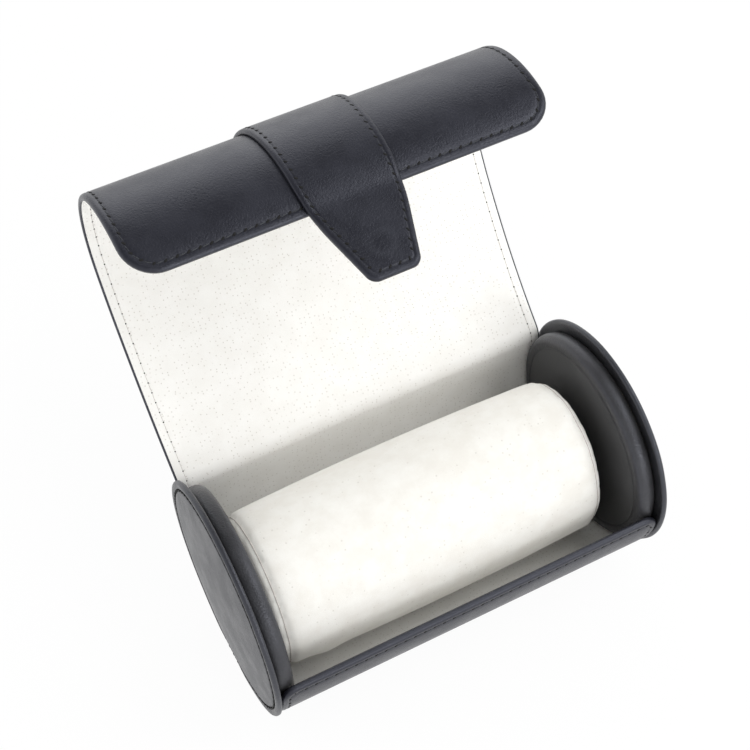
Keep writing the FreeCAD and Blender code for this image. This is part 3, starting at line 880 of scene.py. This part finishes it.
def spunProfile(name, points, steps, centre=(0.0, 0.0, axisZ), closed=False):
    # a line of points in the XZ plane, drawn by extruding one vertex, then spun about X
    bpy.ops.mesh.primitive_plane_add(size=1, location=(0, 0, 0))
    made = bpy.context.object
    made.name = name
    openEdit(made, "VERT")
    bpy.ops.mesh.merge(type="CENTER")
    places = [Vector((x, 0, radius)) + Vector(centre) for x, radius in points]
    bpy.ops.transform.translate(value=places[0])
    for here, there in zip(places, places[1:]):
        extrudeBy(there - here)
    if closed:
        ends = (places[0], places[-1])
        choose(lambda p, n: min((p - end).length for end in ends) < 1e-3, "verts")
        bpy.ops.mesh.edge_face_add()
    selectAll()
    bpy.ops.mesh.spin(steps=steps, angle=2 * math.pi, center=centre, axis=(1, 0, 0))
    selectAll()
    bpy.ops.mesh.remove_doubles(threshold=0.004)
    bpy.ops.mesh.normals_make_consistent(inside=False)
    return closeEdit()


endCover = {
    "rim": [(63.64, 36.5), (63.72, 37.05), (64.02, 37.42), (64.5, 37.5), (64.95, 37.4),
            (65.28, 37.12), (65.44, 36.7), (65.46, 36.2), (65.4, 35.75), (65.22, 35.3),
            (65.0, 34.95), (64.95, 34.75), (65.02, 34.5), (65.28, 34.15), (65.5, 33.7)],
    "back": [(63.64, 0.0), (63.64, 20.0), (63.64, 34.5)],
    "domeRadius": 33.7, "domeEdge": 65.5, "domeTop": 67.1, "rings": 14, "steps": 144,
    "cutAt": 0.03, "uneven": 0.07, "seed": 3.0, "rubbed": (None, 37.3, 0.8),
    "stitchRadius": 34.78, "stitchOut": 65.28, "pitch": 3.1, "slant": 7.0}
drumBand = {
    "loop": [(63.45, 32.3), (63.42, 33.0), (63.2, 33.5), (62.7, 33.85), (61.8, 34.15),
             (60.8, 34.3), (59.8, 34.2), (59.0, 33.9), (58.4, 33.45), (58.02, 32.8),
             (57.9, 32.0), (57.9, 31.0), (57.92, 30.3), (58.15, 29.95), (58.6, 29.9),
             (58.68, 30.2), (58.68, 32.3)],
    "steps": 144, "cutAt": 2.5, "uneven": 0.09, "seed": 5.0, "rubbed": (58.3, 33.3, 0.9)}


def domePoints(v):
    points = []
    for ring in range(1, v["rings"] + 1):
        radius = v["domeRadius"] * math.cos(math.pi / 2 * ring / v["rings"]) ** 0.9
        height = 1 - (radius / v["domeRadius"]) ** 2
        points.append((v["domeEdge"] + (v["domeTop"] - v["domeEdge"]) * height,
                       max(radius, 0.0)))
    return points


def unevenRound(piece, amount, seed):
    # hand-covered leather is never quite true
    for vertex in piece.data.vertices:
        away = Vector((0, vertex.co.y, vertex.co.z - axisZ))
        if away.length > 5:
            angle = math.atan2(away.y, away.z)
            wave = noise.noise(Vector((math.cos(angle) * 2.2, math.sin(angle) * 2.2,
                                       seed + vertex.co.x * 0.12)))
            vertex.co += away.normalized() * amount * wave
            vertex.co.x += amount * 0.8 * noise.noise(
                Vector((math.cos(angle) * 3.1, math.sin(angle) * 3.1, seed + 9.0)))


def wearOfRound(piece, side, v):
    # rubbed where the leather stands out most: at a radius and, for the band, an x
    out, radius, width = v["rubbed"]
    rubbed = []
    for vertex in piece.data.vertices:
        away = math.hypot(vertex.co.y, vertex.co.z - axisZ) - radius
        if out is not None:
            away = math.hypot(vertex.co.x * side - out, away)
        rubbed.append(max(0.0, 1 - abs(away) / width))
    setWearAndHighlight(piece, rubbed)


def makeRound(name, side, profile, v, material, stand):
    made = spunProfile(name, [(side * x, r) for x, r in profile], v["steps"], closed=True)
    openEdit(made)
    cutAway((0, 0, v["cutAt"]), (0, 0, 1), clear_inner=True)
    closeEdit()
    unevenRound(made, v["uneven"], side * v["seed"])
    wearOfRound(made, side, v)
    toMetres(made)
    onlySelect(made)
    bpy.ops.object.shade_smooth_by_angle(angle=math.radians(50))
    dress(made, material)
    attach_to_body(made, "case")
    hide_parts(stand)


def faceStitches(word, side, v):
    count = int(round(2 * math.pi * v["stitchRadius"] / v["pitch"]))
    stand = Matrix.Translation((side * v["stitchOut"], 0, v["stitchRadius"]))
    # the marks between the threads are painted shade in the needle holes
    for part, template, shift, slant, material in (
            ("thread", threadGrain, 0.0, v["slant"], "darkThread"),
            ("holeShade", holeShadeGrain, 0.5, 0.0, "holeShade")):
        lie = Matrix.Rotation(math.radians(90 * side), 4, "Y") @ Matrix.Rotation(
            math.radians(90 + slant), 4, "Z")
        places = []
        for number in range(count):
            turn = Matrix.Rotation(2 * math.pi * (number + shift) / count, 4, "X")
            places.append(Matrix.Translation((0, 0, axisZ)) @ turn @ stand @ lie)
        ring = copiesAt(word + "_face_" + part, template, places)
        toMetres(ring)
        dress(ring, material)
        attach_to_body(ring, "case")


for side, word in ((1, "right"), (-1, "left")):
    profile = endCover["rim"] + domePoints(endCover) + endCover["back"]
    makeRound(word + "_cover_dressed", side, profile, endCover, "faceLeather",
              word + "_end_cover")
    makeRound(word + "_band_dressed", side, drumBand["loop"], drumBand, "bandLeather",
              word + "_drum_band")
    faceStitches(word, side, endCover)
print("ends made")

# cushion

cushionValues = {
    "from": -57.3, "to": 53.3, "halfDepth": 25.0, "halfHeight": 29.5, "centreY": -0.5,
    "centreZ": 31.85, "shrink": 0.6, "steps": 64, "endShare": 0.945, "crown": 0.045,
    "voxel": 2.8, "pressure": 1.5, "tension": 25, "bending": 4.0, "frames": 20, "cap": 1.0,
    "seamInset": 3.0, "sewnWidth": 1.6, "seamDepth": 0.55, "seamWidth": 0.8,
    "gather": 0.34, "gatherReach": 6.0, "threadRadius": 0.14, "threadSteps": 120,
    "folds": [{"place": (-49.5, -22.0, 13.0), "lowness": 0.8, "depth": 1.3, "size": 4.2},
              {"place": (-42.5, -23.0, 17.0), "lowness": 0.6, "depth": -0.7, "size": 4.5}]}
cushionSeams = {"left": cushionValues["from"] + cushionValues["seamInset"],
                "right": cushionValues["to"] - cushionValues["seamInset"]}


def cushionProfile(v):
    # crowned between the seams, drawn in and rounded at both ends
    points, half = [], (v["to"] - v["from"]) / 2
    middle = (v["to"] + v["from"]) / 2
    radius = v["halfDepth"] - v["shrink"]
    share = v["endShare"]
    ends = [(1.0, 0.0), (1.0, 0.3), (0.999, 0.62), (0.995, 0.8), (0.985, 0.885),
            (0.968, 0.935), (share, 1 - v["crown"])]
    for along, out in ends:
        points.append((middle + along * half, out * radius))
    for step in range(1, 16):
        along = share - 2 * share * step / 16
        points.append((middle + along * half,
                       radius * (1 - v["crown"] * (along / share) ** 2)))
    for along, out in reversed(ends):
        points.append((middle - along * half, out * radius))
    return points


def makeCushion(v):
    centre = (0.0, v["centreY"], v["centreZ"])
    cushion = spunProfile("cushion_dressed", cushionProfile(v), v["steps"], centre=centre)
    openEdit(cushion)
    bpy.ops.transform.resize(value=(1, 1, (v["halfHeight"] - v["shrink"])
                                    / (v["halfDepth"] - v["shrink"])),
                             center_override=centre)
    closeEdit()
    toMetres(cushion)
    onlySelect(cushion)
    remesh = cushion.modifiers.new("even", "REMESH")
    remesh.mode = "VOXEL"
    remesh.voxel_size = v["voxel"] * mm
    bpy.ops.object.modifier_apply(modifier="even")
    before = [vertex.co.copy() for vertex in cushion.data.vertices]
    pinned = cushion.vertex_groups.new(name="sewn")
    for vertex in cushion.data.vertices:
        for seam in cushionSeams.values():
            if abs(vertex.co.x / mm - seam) < v["sewnWidth"]:
                pinned.add([vertex.index], 0.9, "REPLACE")
    cloth = cushion.modifiers.new("stuffed", "CLOTH")
    settings = cloth.settings
    settings.use_pressure = True
    settings.uniform_pressure_force = v["pressure"]
    settings.effector_weights.gravity = 0
    settings.tension_stiffness = settings.compression_stiffness = v["tension"]
    settings.bending_stiffness = v["bending"]
    settings.vertex_group_mass = "sewn"
    for number in range(1, v["frames"] + 1):
        bpy.context.scene.frame_set(number)
    bpy.ops.object.modifier_apply(modifier="stuffed")
    bpy.context.scene.frame_set(1)
    for vertex, old in zip(cushion.data.vertices, before):
        move = vertex.co - old
        if move.length > v["cap"] * mm:
            vertex.co = old + move.normalized() * v["cap"] * mm
    finer = cushion.modifiers.new("finer", "SUBSURF")
    finer.levels = finer.render_levels = 1
    bpy.ops.object.modifier_apply(modifier="finer")
    return cushion


def sewCushion(cushion, v):
    # the seams pull the cover in, and the cover is gathered a little beside them
    for vertex in cushion.data.vertices:
        p = vertex.co / mm
        y, z = p.y - v["centreY"], p.z - v["centreZ"]
        away = math.hypot(y / v["halfDepth"], z / v["halfHeight"])
        angle = math.atan2(z, y)
        if away < 0.7:
            continue
        inwards = Vector((0, -y, -z)).normalized()
        for seam, side in ((cushionSeams["left"], -1), (cushionSeams["right"], 1)):
            gap = p.x - seam
            pull = v["seamDepth"] * math.exp(-(gap / v["seamWidth"]) ** 2)
            gather = v["gather"] * math.exp(-abs(gap) / v["gatherReach"]) * (
                noise.noise(Vector((math.cos(angle) * 7, math.sin(angle) * 7, side * 4.0))))
            vertex.co += inwards * (pull + gather) * mm
        # low at the left the front is pinched where the cover is folded in, with a ridge
        for fold in v["folds"]:
            foldX, foldY, foldZ = fold["place"]
            gap = Vector((p.x - foldX, (p.y - foldY) * 0.9,
                          (p.z - foldZ) * fold["lowness"])).length
            vertex.co += inwards * fold["depth"] * math.exp(-(gap / fold["size"]) ** 2) * mm
    cushion.data.update()


def seamThread(cushion, v, x, name):
    # a thin sewn line that lies in the seam, found on the cushion itself
    bpy.context.view_layer.update()
    points = []
    for step in range(v["threadSteps"]):
        angle = 2 * math.pi * step / v["threadSteps"]
        out = Vector((0, math.cos(angle) * v["halfDepth"], math.sin(angle) * v["halfHeight"]))
        origin = (Vector((x, v["centreY"], v["centreZ"])) + out * 1.3) * mm
        hit, place, normal, index = cushion.ray_cast(origin, -out.normalized())
        points.append(place / mm + out.normalized() * 0.02)
    curve = bpy.data.curves.new(name, "CURVE")
    curve.dimensions = "3D"
    spline = curve.splines.new("POLY")
    spline.points.add(len(points) - 1)
    for point, place in zip(spline.points, points):
        point.co = (*(place * mm), 1)
    spline.use_cyclic_u = True
    curve.bevel_depth = v["threadRadius"] * mm
    curve.bevel_resolution = 2
    onlySelect(addObject(name, curve))
    bpy.ops.object.convert(target="MESH")
    line = bpy.context.object
    dress(line, "paleThread")
    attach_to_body(line, "cushion")


cushion = makeCushion(cushionValues)
sewCushion(cushion, cushionValues)
onlySelect(cushion)
bpy.ops.object.shade_smooth()
dress(cushion, "cushionSuede")
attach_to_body(cushion, "cushion")
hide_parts("cushion_cover", "cushion_filling", "cushion_left_end",
            "cushion_right_end")
for word in ("right", "left"):
    seamThread(cushion, cushionValues, cushionSeams[word], "cushion_seam_" + word)
print("cushion made")

# pieces kept from the frame

keptLooks = {"end_padding": "foam", "end_board": "greyBoard", "drum_core": "greyBoard",
             "inner_face": "innerLeather", "tab_magnet": "steel", "catch_plate": "steel",
             "leather": "wrapLeather", "board": "greyBoard", "lining": "lining",
             "filling": "fibre", "cover": "cushionSuede", "left_end": "cushionSuede",
             "right_end": "cushionSuede", "band": "bandLeather", "backing": "wrapLeather",
             "strap_top_1": "wrapLeather", "strap_top_2": "wrapLeather",
             "strap_flap": "wrapLeather"}
for name, piece in cadNodes.items():
    for ending, look in keptLooks.items():
        if name.endswith(ending):
            dress(piece, look)
            break
    else:
        print("no look for", name)
discard(threadGrain, holeShadeGrain, dotGrain, lineGrain)

# floor, light and camera

studio = {"world": 0.86, "ceiling": 0.3, "ceilingFrom": 0.42, "ceilingTo": 0.8,
          "floorSize": 6.0, "floorDrop": 0.0004, "floorColour": 0.9, "floorGlow": 0.95,
          "aim": (0, 0, 0.05),
          "key": {"place": (0.75, -0.35, 1.1), "size": 0.9, "power": 6.5},
          "front": {"place": (0.3, -1.1, 0.45), "size": 0.5, "power": 3.0},
          "back": {"place": (0.35, 1.25, 0.62), "size": 1.3, "power": 4.0}}


def seesBackground(tree):
    # 1 for what the camera, a gloss or glass sees directly
    path = addNode(tree, "ShaderNodeLightPath")
    first = mathNode(tree, "MAXIMUM", path.outputs["Is Camera Ray"],
                     path.outputs["Is Glossy Ray"])
    return mathNode(tree, "MAXIMUM", first, path.outputs["Is Transmission Ray"])


world = bpy.data.worlds.new("studio")
bpy.context.scene.world = world
world.use_nodes = True
tree = world.node_tree
# white all round, with a dimmer ceiling that only shows in glossy surfaces
seen = rangeNode(tree, seesBackground(tree), 0.0, 1.0, studio["world"], 1.0)
look = addNode(tree, "ShaderNodeTexCoord").outputs["Generated"]
height = addNode(tree, "ShaderNodeSeparateXYZ", {0: look}).outputs["Z"]
dim = rangeNode(tree, height, studio["ceilingFrom"], studio["ceilingTo"], 0.0,
                1.0 - studio["ceiling"])
gloss = addNode(tree, "ShaderNodeLightPath").outputs["Is Glossy Ray"]
strength = mathNode(tree, "SUBTRACT", seen, mathNode(tree, "MULTIPLY", dim, gloss))
setInputs(tree, tree.nodes["Background"], {"Color": rgb(1, 1, 1), "Strength": strength})

bpy.ops.mesh.primitive_plane_add(size=studio["floorSize"],
                                 location=(0, 0, -studio["floorDrop"]))
floor = bpy.context.object
floor.name = "floor"
made = bpy.data.materials.new("floorPaper")
made.use_nodes = True
tree = made.node_tree
shader = tree.nodes["Principled BSDF"]
setInputs(tree, shader, {"Base Color": rgb(*[studio["floorColour"]] * 3),
                         "Roughness": 0.9})
glow = addNode(tree, "ShaderNodeEmission", {"Color": rgb(1, 1, 1), "Strength": 1.0})
seen = mathNode(tree, "MULTIPLY", seesBackground(tree), studio["floorGlow"])
mixer = addNode(tree, "ShaderNodeMixShader",
                {0: seen, 1: shader.outputs[0], 2: glow.outputs[0]})
setInputs(tree, tree.nodes["Material Output"], {"Surface": mixer.outputs[0]})
floor.data.materials.append(made)

for name in ("key", "front", "back"):
    v = studio[name]
    lamp = bpy.data.lights.new(name, "AREA")
    lamp.shape = "DISK"
    lamp.size = v["size"]
    lamp.energy = v["power"]
    holder = addObject(name, lamp)
    holder.location = v["place"]
    aim = Vector(studio["aim"]) - Vector(v["place"])
    holder.rotation_euler = aim.to_track_quat("-Z", "Y").to_euler()

cameraValues = {"place": (-0.12158, -0.20561, 0.44277), "elevation": 54.61,
                "azimuth": -27.43, "lens": 73.76}
eye = bpy.data.cameras.new("camera")
eye.lens = cameraValues["lens"]
eye.sensor_width = 36
holder = addObject("camera", eye)
holder.location = cameraValues["place"]
holder.rotation_euler = (math.radians(90 - cameraValues["elevation"]), 0,
                         math.radians(cameraValues["azimuth"]))
bpy.context.scene.camera = holder
bpy.context.scene.view_settings.view_transform = "Standard"
